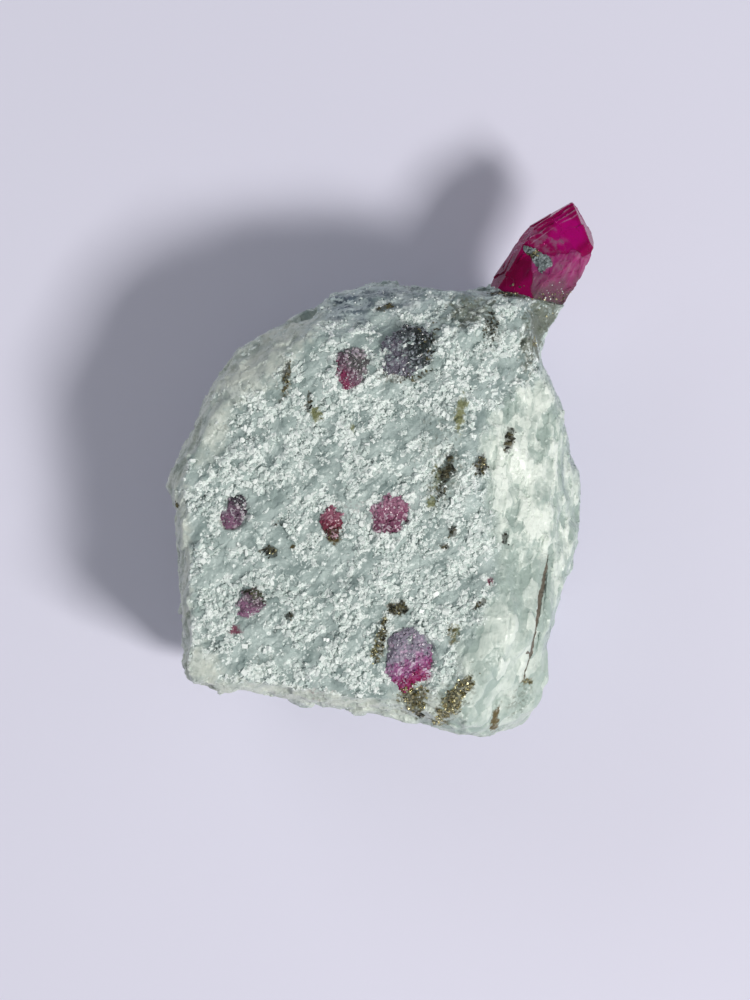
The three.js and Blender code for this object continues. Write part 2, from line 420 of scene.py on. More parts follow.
def makeScatter():
    group, given, result = newGroup(
        "scatter", "GeometryNodeTree",
        {"Piece": "Geometry", "Rock": "Object", "Zone": "String", "Shapes": "Collection", "Spacing": "Float",
         "Most": "Float", "Smallest": "Float", "Largest": "Float", "Tumble": "Vector", "Seed": "Int"},
        {"Piece": "Geometry"},
    )
    stone = addNode(group, "GeometryNodeObjectInfo", {"Object": given["Rock"]}).outputs["Geometry"]
    zone = zoneField(group, given["Zone"])
    spread = addNode(group, "GeometryNodeDistributePointsOnFaces", {
        "Mesh": stone, "Distance Min": given["Spacing"], "Density Max": given["Most"],
        "Density Factor": zone, "Seed": given["Seed"],
    }, distribute_method="POISSON").outputs
    shapes = addNode(group, "GeometryNodeCollectionInfo", {
        "Collection": given["Shapes"], "Separate Children": True, "Reset Children": True,
    }).outputs["Instances"]
    spin = addNode(group, "FunctionNodeRandomValue", {
        0: scaled(group, given["Tumble"], -1.0), 1: given["Tumble"], "Seed": 1,
    }, data_type="FLOAT_VECTOR").outputs[0]
    turn = addNode(group, "FunctionNodeEulerToRotation", {0: spin}).outputs[0]
    stand = addNode(group, "FunctionNodeRotateRotation", {0: spread["Rotation"], 1: turn},
                    rotation_space="LOCAL").outputs[0]
    size = addNode(group, "FunctionNodeRandomValue", {2: given["Smallest"], 3: given["Largest"], "Seed": 2},
                   data_type="FLOAT").outputs[1]
    crowded = addTimes(group, zone, 1 - lonelyGrain, lonelyGrain)
    placed = addNode(group, "GeometryNodeInstanceOnPoints", {
        "Points": spread["Points"], "Instance": shapes, "Pick Instance": True, "Rotation": stand,
        "Scale": calculate(group, "MULTIPLY", size, crowded),
    }).outputs["Instances"]
    tone = addNode(group, "FunctionNodeRandomValue", {"Seed": 3}, data_type="FLOAT").outputs[1]
    toned = addNode(group, "GeometryNodeStoreNamedAttribute", {
        "Geometry": placed, "Name": "tone", "Value": tone,
    }, data_type="FLOAT", domain="INSTANCE").outputs["Geometry"]
    real = addNode(group, "GeometryNodeRealizeInstances", {"Geometry": toned}).outputs["Geometry"]
    both = addNode(group, "GeometryNodeJoinGeometry", {"Geometry": real})
    group.links.new(given["Piece"], both.inputs["Geometry"])  # still a mesh where no point falls
    group.links.new(both.outputs["Geometry"], result["Piece"])
    return group


scatter = makeScatter()

# Start shapes of the grains, about one unit wide
startPlan = {"blockSize": 0.9, "ballRadius": 0.55, "chipRadius": 0.6, "chipHeight": 0.8}


def grainShape(start, stretch, jitter, sides=0):
    return {"start": start, "stretch": stretch, "jitter": jitter, "sides": sides}


def makeShapes(name, plans):
    shapes = bpy.data.collections.new(name)
    for number, plan in enumerate(plans):
        bpy.ops.object.select_all(action="DESELECT")
        if plan["start"] == "block":
            bpy.ops.mesh.primitive_cube_add(size=startPlan["blockSize"])
        elif plan["start"] == "ball":
            bpy.ops.mesh.primitive_ico_sphere_add(subdivisions=1, radius=startPlan["ballRadius"])
        else:
            bpy.ops.mesh.primitive_cone_add(
                vertices=plan["sides"], radius1=startPlan["chipRadius"], depth=startPlan["chipHeight"],
            )
        shape = bpy.context.active_object
        editAll(shape)
        bpy.ops.transform.resize(value=plan["stretch"])
        bpy.ops.transform.vertex_random(offset=plan["jitter"], seed=number + 1)
        endEdit()
        for home in list(shape.users_collection):
            home.objects.unlink(shape)
        shapes.objects.link(shape)
    return shapes


def scatterOn(host, name, shapes, spread):
    part = addObject(name, bpy.data.meshes.new(name))
    applyNodes(part, scatter, Rock=host, Shapes=shapes, **spread)
    part.data.materials.clear()
    return part


def scatterPiece(name, hosts, plan, material):
    shapes = makeShapes(name + "_shapes", plan["shapes"])
    parts = [scatterOn(host, name, shapes, plan["spread"]) for host in hosts]
    piece = parts[0]
    joinAll(piece, parts)
    piece.data.materials.append(material)
    settlePiece(piece, "marble")


# The marble's shape

rockPlan = {
    "voxel": 0.25,      # mm
    "keep": 0.66,       # share of the triangles kept, fewer on the back and the lower sides
    "thinned": (4, 16),  # mm above the floor, from fewest triangles to all
    "thinning": 8,      # how much more the back is thinned
    "seatFill": 0.36,   # mm, more than the gap round a seated ruby
    "seatSink": 0.8,    # mm, keeps the fill under the ruby's crown
    "crystalRoot": (16.5, 19.5, 14.3),  # mm, where the crystal leaves the rock
    "crystalRim": (0.25, 0.96, 0.1),    # square to the rim of its seat
    "settle": 6,        # rounds of smoothing
    "soften": 3,        # rounds of smoothing over the broken blocks
    "lump": breakage(cell=3.4, tilt=0.16, lift=0.16, turn=-0.7, stretch=(0.8, 1.2, 1)),
    "cleavage": breakage(cell=1.6, tilt=0.24, lift=0.24, turn=0.12, stretch=(1, 0.62, 1)),
    "layer": breakage(cell=1.4, tilt=0.5, lift=0.2, turn=0.15, stretch=(0.22, 1, 1)),
    "break": breakage(cell=4.2, tilt=0.28, lift=0.3, turn=0.5, stretch=(1, 1, 1.4)),
    "splinter": breakage(cell=0.75, tilt=0.34, lift=0.16, turn=0.12, stretch=(1, 0.62, 1)),
    "grain": breakage(cell=1.0, tilt=0.7, lift=0.3, turn=-0.7, stretch=(0.8, 1.2, 1)),
}
faceRubies = ("ruby_lower", "ruby_round", "ruby_small", "ruby_left", "ruby_corner", "ruby_upper", "ruby_dark")

# Where the face changes, in mm on the face. A waver is mm aside, mm long and a seed.
zonePlan = {
    "ridge": [(-27, 4.6), (-21, 5.8), (-14.3, 8.4), (-9.8, 11), (-5, 11.8), (0, 10.6), (9, 9.6), (12.6, 12.5),
              (15, 16), (18, 19)],  # y, x of the edge between the granular and the cleaved side
    "ridgeWaver": [(1.7, 2.6, 3), (1.0, 0.9, 4)],
    "ridgeSoft": (-1.1, 1.5),
    "cleavedEnd": (19, 14),       # y
    "splintered": (-11, -3),      # y
    "slate": (21.2, 24.4),        # y
    "slateWaver": [(2.4, 5, 8), (1.6, 1.6, 9)],
    "slateEnd": (-1, 3),          # x
    "smoothSide": (10, 15),       # x, the cleaved side breaks smoothly
    "leftWall": (14, 18),         # -x
    "lowerWall": (18, 22),        # -y
    "upwards": (0.5, 0.8),        # z of the normal, from wall to face
    "facing": (0.1, 0.4),         # z of the normal, from bare walls to slopes that hold flakes
    "slateFacing": (0.1, 0.45),
    "wall": (0.75, 0.5),
    "foot": (0.8, 2),             # mm above the floor
    "spotsAbove": (6, 9),         # mm above the floor
    "spotWaver": [(0.5, 0.9, 21), (0.5, 0.4, 22)],
    "foliation": [(0.77, 0.64), (-1.0, 1.2)],  # along and across the grain, in x and y
    "heapWaver": [(1, 2.9, 11), (0.9, 1.3, 12)],
    "heapFray": [(0.6, 0.6, 13)],
    "heap": (-0.3, 0.25),         # level of the noise, from bare ground to sugar
    "loneSugar": 0.05,            # share of the grains that lie between the heaps
    "rubyRim": (0.8, 1.0),        # share of a ruby's half width, from no crumbs to all
    "covers": {"slate": 0.85, "smooth": 0.85, "mica": 0.9, "pyrite": 0.7, "green": 0.9},  # of the sugar
    "fades": {"slate": 0.55, "sides": 0.75},   # towards the right
    "lowerShare": 0.6,                         # share of the painted light on the lower wall
    "dusty": {"sides": 0.16, "slate": 0.5},
    "leastSplinters": 0.25,
    "rough": {"all": 0.2, "granular": 0.8, "leastSugar": 0.25, "cleaved": -0.14, "sides": 0.2},
}


def spot(x, y, wide, tall, turn=0, strength=1):
    return {"at": (x, y), "reach": (wide, tall), "turn": turn, "strength": strength}


# Flakes, grains and stains seen in the face: place, reach to each side in mm and turn in degrees
spotPlan = {
    "mica": [
        spot(-11.5, 14.9, 0.4, 2.0, turn=-8, strength=0.8),
        spot(-9.0, 12.3, 0.3, 1.1, turn=-5),
        spot(6.2, 4.8, 0.8, 1.4, turn=-15),
        spot(5.6, 2.5, 0.6, 1.2, turn=-25, strength=0.7),
        spot(10.0, 5.2, 0.75, 1.2, turn=-20),
        spot(13.1, 7.8, 0.5, 1.3, turn=-10),
        spot(6.9, -2.0, 0.4, 0.6),
        spot(6.0, -3.7, 0.5, 0.4),
        spot(12.7, -2.8, 0.35, 0.7),
        spot(9.9, -10.1, 0.3, 0.8, turn=-50),
        spot(0.7, -10.6, 0.9, 0.7),
        spot(-13.3, -4.2, 0.9, 0.6, turn=-20),
        spot(-12.4, -1.2, 0.7, 0.7, strength=0.4),
        spot(-11.2, -11.5, 0.4, 0.6),
        spot(-1.1, -14.3, 0.55, 2.1, turn=-14, strength=0.7),
        spot(3.2, -22.4, 0.5, 0.6),
        spot(2.6, -20.4, 1.5, 1.2, strength=0.35),
        spot(6.9, -20.8, 1.0, 3.0, turn=-34, strength=0.35),
        spot(11.2, 20.5, 0.9, 2.0, turn=-6, strength=0.5),
        spot(12.9, 25.5, 1.2, 0.4, turn=-20),
        spot(12.8, 24.5, 2.0, 0.5, turn=-14, strength=0.8),
        spot(4.4, 17.4, 0.5, 0.8, turn=-20, strength=0.8),
        spot(3.9, 19.3, 1.7, 1.3, turn=35, strength=0.45),
        spot(2.6, 15.0, 2.0, 0.5, turn=15, strength=0.6),
        spot(-6.5, -2.4, 0.7, 0.5, strength=0.7),
        spot(-15.7, -8.9, 0.5, 0.4, strength=0.8),
        spot(-0.4, 22.8, 1.0, 0.3, turn=20),
        spot(-18.5, 16.0, 0.35, 0.6, turn=-35),
        spot(-23.5, 0.8, 0.3, 0.3),
    ],
    "pyrite": [
        spot(-1.1, -14.3, 0.7, 2.2, turn=-14, strength=0.7),
        spot(2.6, -20.4, 1.6, 1.4, strength=0.8),
        spot(6.9, -20.8, 1.0, 3.2, turn=-34),
        spot(6.9, -13.4, 0.7, 1.1, strength=0.5),
        spot(10.1, 5.3, 0.6, 0.9, turn=-20, strength=0.6),
        spot(-11.5, 13.8, 0.4, 1.4, strength=0.5),
        spot(-13.0, -4.3, 0.5, 0.4, strength=0.6),
        spot(13.2, 24.8, 1.6, 0.6, turn=-15, strength=0.6),
        spot(-6.6, -2.9, 0.5, 0.3, strength=0.5),
        spot(17.6, 22.4, 0.9, 1.8, turn=-25, strength=0.12),
        spot(16.2, 19.0, 0.35, 0.45),
        spot(15.3, -18.7, 0.5, 0.5),
        spot(0.6, -10.6, 0.5, 0.4, strength=0.5),
    ],
    "oliveStainAndShade": [
        # the first two are painted shade along the shallow groove beside the ridge, the rest olive stains
        spot(6.0, 3.6, 1.6, 3.2, turn=-20, strength=0.6),
        spot(5.2, 8.4, 2.6, 3.6, turn=-20, strength=0.3),
        spot(7.6, 10.8, 0.6, 1.8, strength=0.8),
        spot(-8.1, 10.9, 0.7, 0.9, strength=0.7),
        spot(0.4, 15.2, 1.8, 0.9, turn=10, strength=0.6),
        spot(4.5, 1.1, 0.6, 0.8, strength=0.6),
        spot(-11.6, 14.5, 1.0, 2.6, turn=-8, strength=0.5),
        spot(2.8, -20.9, 2.1, 1.9, strength=0.55),
        spot(6.9, -20.8, 1.4, 3.6, turn=-34, strength=0.7),
        spot(-1.1, -14.3, 1.0, 2.6, turn=-14, strength=0.5),
        spot(-14.3, -17.1, 1.6, 1.5, strength=0.25),
        spot(11.2, 20.5, 1.6, 2.6, strength=0.45),
        spot(8.8, 22.4, 3.0, 1.7, turn=15, strength=0.8),
        spot(16.9, 21.0, 1.7, 4.6, turn=-22),
        spot(13.4, 25.0, 2.2, 1.2, turn=-20, strength=0.8),
        spot(14.5, -20.6, 1.2, 2.4, turn=-24, strength=0.4),
    ],
    "moss": [
        spot(7.7, 10.9, 0.6, 2.0, turn=-4),
        spot(-8.2, 10.8, 0.7, 0.9, strength=0.9),
        spot(4.4, 1.2, 0.5, 0.9, turn=-20, strength=0.8),
        spot(7.1, -13.2, 0.5, 0.9, strength=0.8),
        spot(5.4, 4.0, 0.9, 1.6, turn=-20, strength=0.7),
        spot(-4.2, 9.4, 0.35, 0.7, strength=0.7),
    ],
    "rust": [
        spot(11.7, -23.3, 0.45, 1.6, turn=-10),
        spot(-10.7, -3.8, 0.3, 0.3),
        spot(-6.4, -2.9, 0.9, 0.5, strength=0.8),
        spot(0.7, -10.6, 1.1, 0.9, strength=0.6),
    ],
    "smooth": [
        spot(-14.6, 16.6, 7.5, 2.4, turn=42),
        spot(-19.4, 9.6, 1.6, 4.4, turn=-22, strength=0.8),
        spot(-21.1, -17.6, 2.2, 2.4),
        spot(-22.9, -8, 0.9, 9),
        spot(-9, -20.6, 12, 1.0, turn=-9),
        spot(4.2, -21.6, 3.6, 2.0, turn=-12, strength=0.8),
    ],
    "white": [
        spot(13.6, 5.2, 3.6, 5.2, turn=12, strength=0.65),
        spot(16.2, -1.2, 1.7, 2.4, turn=8, strength=1.2),
        spot(15.6, 11.5, 2.2, 3.6, turn=10, strength=0.5),
        spot(13.4, -14.4, 2.0, 3.6, turn=-12, strength=0.45),
        spot(12.2, -20.6, 1.2, 2.6, turn=-14, strength=0.4),
        spot(18.8, 0.5, 1.8, 9.0, turn=2, strength=0.3),
    ],
    "blush": [
        spot(-17.2, -12.9, 0.6, 0.5),
        spot(11.1, -7.6, 0.4, 0.4),
        spot(-7.6, -19.9, 1.2, 0.8, strength=0.3),
        spot(-3.4, 0.3, 2.0, 1.2, strength=0.2),
        spot(0.0, 16.4, 2.0, 1.6, strength=0.3),
    ],
}
spotSoftness = {
    "mica": 0.35, "pyrite": 0.35, "oliveStainAndShade": 0.8, "moss": 0.6, "rust": 0.5, "blush": 0.8, "white": 0.7,
    "smooth": 0.5,
}


def fillSeats(rock):
    fills = []
    for name in faceRubies + ("ruby_crystal",):
        fill = copyNode(name, "fill_" + name)
        editAll(fill)
        bpy.ops.transform.shrink_fatten(value=rockPlan["seatFill"] * mm)
        if name == "ruby_crystal":
            root = Vector(rockPlan["crystalRoot"]) * mm
            rim = Vector(rockPlan["crystalRim"])
            bpy.ops.mesh.bisect(plane_co=root, plane_no=rim, clear_outer=True, use_fill=True)
        else:
            bpy.ops.transform.translate(value=(0, 0, -rockPlan["seatSink"] * mm))
        endEdit()
        fills.append(fill)
    joinAll(rock, fills)


def onFace(points):
    return points[:, 0] - faceMiddle.x, points[:, 1] - faceMiddle.y


def spotShare(points, place):
    x, y = onFace(points)
    away = np.stack([x - place["at"][0], y - place["at"][1]], axis=1)
    turn = math.radians(place["turn"])
    across = away[:, 0] * math.cos(turn) + away[:, 1] * math.sin(turn)
    along = -away[:, 0] * math.sin(turn) + away[:, 1] * math.cos(turn)
    return np.hypot(across / place["reach"][0], along / place["reach"][1])


def spotField(points, places, soft):
    ragged = wavered(0, points, zonePlan["spotWaver"])
    share = np.zeros(len(points))
    for place in places:
        near = spotShare(points, place) + ragged
        share = np.maximum(share, place["strength"] * ramp(near, 1 + soft, 1 - soft))
    return share * ramp(points[:, 2], *zonePlan["spotsAbove"])


def paintSpots(piece, points, spots, soft):
    for zone, places in spots.items():
        paint(piece, zone, spotField(points, places, soft))


def bareShare(points, spots):
    covers = zonePlan["covers"]
    green = np.maximum(spots["oliveStainAndShade"], spots["moss"])
    bare = (1 - covers["mica"] * spots["mica"]) * (1 - covers["pyrite"] * spots["pyrite"])
    bare = bare * (1 - covers["green"] * green)
    for name in faceRubies:
        low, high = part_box(name)
        across = np.hypot(*((points[:, :2] - (low + high).xy / 2 / mm) / ((high - low).xy / 2 / mm)).T)
        bare *= ramp(across, *zonePlan["rubyRim"])
    return bare


def sugarHeaps(points):
    plan = zonePlan
    x, y = onFace(points)
    along, across = plan["foliation"]
    drawn = np.stack([along[0] * x + along[1] * y, across[0] * x + across[1] * y, points[:, 2]], axis=1)
    heap = wavered(wavered(0, drawn, plan["heapWaver"]), points, plan["heapFray"])
    return ramp(heap, *plan["heap"])


def paintZones(rock):
    plan = zonePlan
    points = pointsOf(rock)
    up = readVertices(rock, "normal")[:, 2]
    x, y = onFace(points)
    facing = ramp(up, *plan["facing"])
    spots = {name: spotField(points, spotPlan[name], soft) for name, soft in spotSoftness.items()}
    smooth = spots.pop("smooth")
    spots = {name: facing * share for name, share in spots.items()}

    pastRidge = wavered(x - np.interp(y, *zip(*plan["ridge"])), points, plan["ridgeWaver"])
    cleaved = ramp(pastRidge, *plan["ridgeSoft"]) * facing * ramp(y, *plan["cleavedEnd"])
    slate = ramp(wavered(y, points, plan["slateWaver"]), *plan["slate"])
    slate = slate * ramp(up, *plan["slateFacing"]) * (1 - cleaved)
    slate = slate * (1 - plan["fades"]["slate"] * ramp(x, *plan["slateEnd"]))
    granular = ramp(up, *plan["upwards"]) * (1 - cleaved)
    granular = granular * (1 - plan["covers"]["slate"] * slate) * (1 - plan["covers"]["smooth"] * smooth)
    sides = ramp(np.abs(up), *plan["wall"]) * (1 - cleaved) * (1 - slate) * ramp(points[:, 2], *plan["foot"])
    sides = sides * (1 - plan["fades"]["sides"] * ramp(x, *plan["smoothSide"]))
    # painted light: the left and lower walls, turned away from the key light, are made paler, the lower one
    # less
    paintedWallLight = np.maximum(ramp(-x, *plan["leftWall"]), plan["lowerShare"] * ramp(-y, *plan["lowerWall"]))
    paintedWallLight = paintedWallLight * ramp(up, *plan["wall"])

    loose = granular * bareShare(points, spots) * (1 - slate)
    sugar = sugarHeaps(points)
    heaped = atLeast(plan["loneSugar"], sugar)
    dusty = plan["dusty"]
    rough = plan["rough"]
    uneven = rough["all"] + rough["granular"] * granular * atLeast(rough["leastSugar"], sugar)

    zones = {
        "granular": granular,
        "cleaved": cleaved,
        "splintered": cleaved * atLeast(plan["leastSplinters"], ramp(y, *plan["splintered"])),
        "slate": slate,
        "sugar": sugar,
        "sides": sides,
        "skirt": np.maximum(smooth, paintedWallLight),
        "crumbs": loose * heaped,
        "dust": np.maximum(loose, dusty["sides"] * sides + dusty["slate"] * slate) * heaped,
        "rough": uneven + rough["cleaved"] * cleaved + rough["sides"] * sides,
        "vein": np.zeros(len(points)),
        **spots,
    }
    for name, share in zones.items():
        paint(rock, name, share)


def flatten(rock):
    points = pointsOf(rock)
    points[:, 2] = np.maximum(points[:, 2], 0)
    placePoints(rock, points)


def thinBack(rock):
    steps = 10
    back = rock.vertex_groups.new(name="back")
    low = 1 - ramp(pointsOf(rock)[:, 2], *rockPlan["thinned"])
    for level in range(1, steps + 1):
        chosen = np.flatnonzero(np.ceil(low * steps) == level)
        back.add(chosen.tolist(), level / steps, "REPLACE")
    applyModifier(rock, "DECIMATE", ratio=rockPlan["keep"], vertex_group=back.name,
                  vertex_group_factor=rockPlan["thinning"])
    rock.vertex_groups.clear()


def makeRock():
    plan = rockPlan
    rock = copyNode("matrix", "matrix_rock")
    fillSeats(rock)
    remesh(rock, plan["voxel"], plan["settle"])
    paintZones(rock)
    applyNodes(rock, brokenGrain, Zone="rough", **plan["lump"])
    applyNodes(rock, brokenBlocks, Zone="cleaved", **plan["cleavage"])
    applyNodes(rock, brokenGrain, Zone="slate", **plan["layer"])
    applyNodes(rock, brokenGrain, Zone="sides", **plan["break"])
    soften(rock, plan["soften"])
    applyNodes(rock, brokenBlocks, Zone="splintered", **plan["splinter"])
    applyNodes(rock, brokenGrain, Zone="rough", **plan["grain"])
    flatten(rock)
    thinBack(rock)
    return rock


rock = makeRock()
print("marble broken")


# Sugary grain, a shader group that all the finishes share

sugarPlan = {"lift": 0.35, "edge": (0.25, 0.75)}  # steps between grains, and where painted shade darkens a grain's edge


def makeSugarGrain():
    group, given, result = newGroup(
        "sugarGrain", "ShaderNodeTree",
        {"Place": "Vector", "Cell": "Float"},
        {"Height": "Float", "Tone": "Float", "EdgeShade": "Float"},
    )
    cell, slope = tiltedCells(group, given["Place"], given["Cell"])
    tone = partsOf(group, cell["Color"])
    group.links.new(addTimes(group, tone["X"], sugarPlan["lift"], slope), result["Height"])
    group.links.new(tone["Z"], result["Tone"])
    group.links.new(stepped(group, cell["Distance"], *sugarPlan["edge"]), result["EdgeShade"])
    return group


sugarGrain = makeSugarGrain()


def grainNode(tree, place, cell):
    node = addNode(tree, "ShaderNodeGroup", node_tree=sugarGrain)
    tree.links.new(place, node.inputs["Place"])
    node.inputs["Cell"].default_value = cell
    return node.outputs


# The marble's finish

marblePlan = {
    "deep": srgb(138, 155, 153),
    "ground": srgb(186, 201, 198),
    "sugar": srgb(238, 247, 244),
    # painted shade in the gaps between grains
    "gapShade": srgb(92, 106, 104),
    # pale colour of the smooth patches, also painted light on the left and lower walls
    "skirt": srgb(206, 211, 201),
    "cleavedGround": srgb(164, 181, 174),
    "cleavedWhite": srgb(232, 240, 232),
    "slateDark": srgb(80, 94, 107),
    "slatePale": srgb(182, 195, 198),
    "stains": {  # colour and strength, the last one on top; the olive one also paints shade beside the ridge
        "oliveStainAndShade": (srgb(98, 105, 92), 0.9),
        "moss": (srgb(122, 126, 82), 0.85),
        "rust": (srgb(96, 84, 48), 1.0),
        "blush": (srgb(124, 68, 88), 1.0),
        "pyrite": (srgb(112, 110, 86), 0.8),
        "mica": (srgb(46, 50, 42), 0.75),
        "vein": (srgb(106, 99, 88), 1.0),
    },
    "foliation": (0.7, (1.4, 0.75, 1)),   # turn and lengths of the grain
    "veil": (-0.14, (0.6, 3.0, 1)),       # the same for the veils on the cleaved side
    "layers": (0.12, (4.5, 0.7, 0.7)),    # and for the slate
    "fleck": 0.55,       # mm
    "fineFleck": 0.28,   # mm
    "murk": 2.1,         # mm
    "broad": 3.4,        # mm
    "veilSize": 1.4,     # mm
    "layerSize": 1.2,    # mm
    # levels are where a mask starts and where it is full, and its least and most where it has four
    "murkLevels": (0.3, 0.66),
    "gapShadeLevels": (0.3, 0.05),
    "fleckLevels": (1.22, 1.5),
    "brokenLevels": (0, 0.7, 0.35, 1.0),
    "skirtLevels": (0.25, 0.75, 0.35, 0.9),
    "reliefLevels": (0, 1, 0.12, 1.0),
    "paleLevels": (0.42, 1.14),
    "slateLevels": (0.48, 0.68),
    "stainLevels": (0.45, 1.15),
    # how much each texture adds
    "fleckFrom": {"sugar": 0.8, "fine": 0.55},
    "paleFrom": {"veil": 0.6, "white": 0.55, "block": 0.42, "splinter": 0.36, "broad": 0.1},
    "slateFrom": {"fine": 0.16},
    "stainFrom": {"fine": 0.5},
    "reliefFrom": {"fine": 0.7, "veil": 0.12},
    "roughness": (0.36, 0.62),
    "bump": (0.9, 0.6 * mm),  # strength and depth
    "body": {"Subsurface Weight": 0.25, "Subsurface Radius": (1, 1.05, 1), "Subsurface Scale": 0.9 * mm},
}


def granularColour(tree, murk, coarse, fine):
    # white flecks in a murky ground, with painted shade in the gaps between grains
    plan = marblePlan
    cluster = zoneMask(tree, "sugar")
    ground = mixColour(tree, stepped(tree, murk, *plan["murkLevels"]), plan["deep"], plan["ground"])
    # painted shade: darker at the edges of the coarse grains, most in the heaps of sugar
    gapShade = calculate(tree, "MULTIPLY", stepped(tree, fine["Tone"], *plan["gapShadeLevels"]), coarse["EdgeShade"])
    ground = mixColour(tree, calculate(tree, "MULTIPLY", gapShade, cluster), ground, plan["gapShade"])
    likely = addTimes(tree, cluster, plan["fleckFrom"]["sugar"], coarse["Tone"])
    likely = addTimes(tree, fine["Tone"], plan["fleckFrom"]["fine"], likely)
    fleck = stepped(tree, likely, *plan["fleckLevels"])
    broken = stepped(tree, zoneMask(tree, "granular"), *plan["brokenLevels"])
    colour = mixColour(tree, calculate(tree, "MULTIPLY", fleck, broken), ground, plan["sugar"])
    # the smooth patches and the painted light on the left and lower walls take the pale wall colour
    skirt = calculate(tree, "MULTIPLY", zoneMask(tree, "skirt"), stepped(tree, murk, *plan["skirtLevels"]))
    return mixColour(tree, skirt, colour, plan["skirt"]), fleck


def cleavedColour(tree, place, veil):
    # pale blocks with veils drawn along the face
    plan = marblePlan
    cleavage = rockPlan["cleavage"]
    drawn = drawnPlace(tree, place, cleavage["Turn"], cleavage["Stretch"])
    tones = []
    for blocks in (cleavage, rockPlan["splinter"]):
        block = addNode(tree, "ShaderNodeTexVoronoi", {"Vector": drawn, "Scale": mm / blocks["Cell"]},
                        distance="CHEBYCHEV")
        tones.append(partsOf(tree, block.outputs["Color"])["Y"])
    splinter = calculate(tree, "SUBTRACT", tones[1], 0.5)
    splinter = calculate(tree, "MULTIPLY", splinter, zoneMask(tree, "splintered"))
    adds = plan["paleFrom"]
    pale = calculate(tree, "MULTIPLY", veil, adds["veil"])
    pale = addTimes(tree, zoneMask(tree, "white"), adds["white"], pale)
    pale = addTimes(tree, tones[0], adds["block"], pale)  # the raised blocks are paler
    pale = addTimes(tree, splinter, adds["splinter"], pale)
    pale = addTimes(tree, cloudNode(tree, place, plan["broad"], detail=3.0), adds["broad"], pale)
    share = stepped(tree, pale, *plan["paleLevels"])
    return mixColour(tree, share, plan["cleavedGround"], plan["cleavedWhite"])


def slateColour(tree, place, fine):
    plan = marblePlan
    layered = cloudNode(tree, turnedPlace(tree, place, *plan["layers"]), plan["layerSize"], detail=4.0)
    layered = addTimes(tree, fine["Tone"], plan["slateFrom"]["fine"], layered)
    return mixColour(tree, stepped(tree, layered, *plan["slateLevels"]), plan["slateDark"], plan["slatePale"])


def makeMarbleMaterial():
    plan = marblePlan
    material, tree, shader = newMaterial("marble", plan["body"])
    place = inMillimetres(tree)
    foliated = turnedPlace(tree, place, *plan["foliation"])
    coarse = grainNode(tree, foliated, plan["fleck"])
    fine = grainNode(tree, place, plan["fineFleck"])
    murk = cloudNode(tree, foliated, plan["murk"], detail=3.0)
    veil = cloudNode(tree, turnedPlace(tree, place, *plan["veil"]), plan["veilSize"], detail=4.0)
    colour, fleck = granularColour(tree, murk, coarse, fine)
    colour = mixColour(tree, zoneMask(tree, "cleaved"), colour, cleavedColour(tree, place, veil))
    colour = mixColour(tree, zoneMask(tree, "slate"), colour, slateColour(tree, place, fine))
    for stain, (stainColour, strength) in plan["stains"].items():
        ragged = addTimes(tree, fine["Tone"], plan["stainFrom"]["fine"], zoneMask(tree, stain))
        share = stepped(tree, ragged, *plan["stainLevels"], 0.0, strength)
        colour = mixColour(tree, share, colour, stainColour)
    height = addTimes(tree, fine["Height"], plan["reliefFrom"]["fine"], coarse["Height"])
    relief = stepped(tree, zoneMask(tree, "rough"), *plan["reliefLevels"])
    height = calculate(tree, "MULTIPLY", height, relief)
    height = addTimes(tree, veil, plan["reliefFrom"]["veil"], height)
    dressStone(tree, shader, plan, colour, fleck, height)
    return material


marble = makeMarbleMaterial()
rock.data.materials.append(marble)
settlePiece(rock, "marble", "matrix")


# The standing ruby

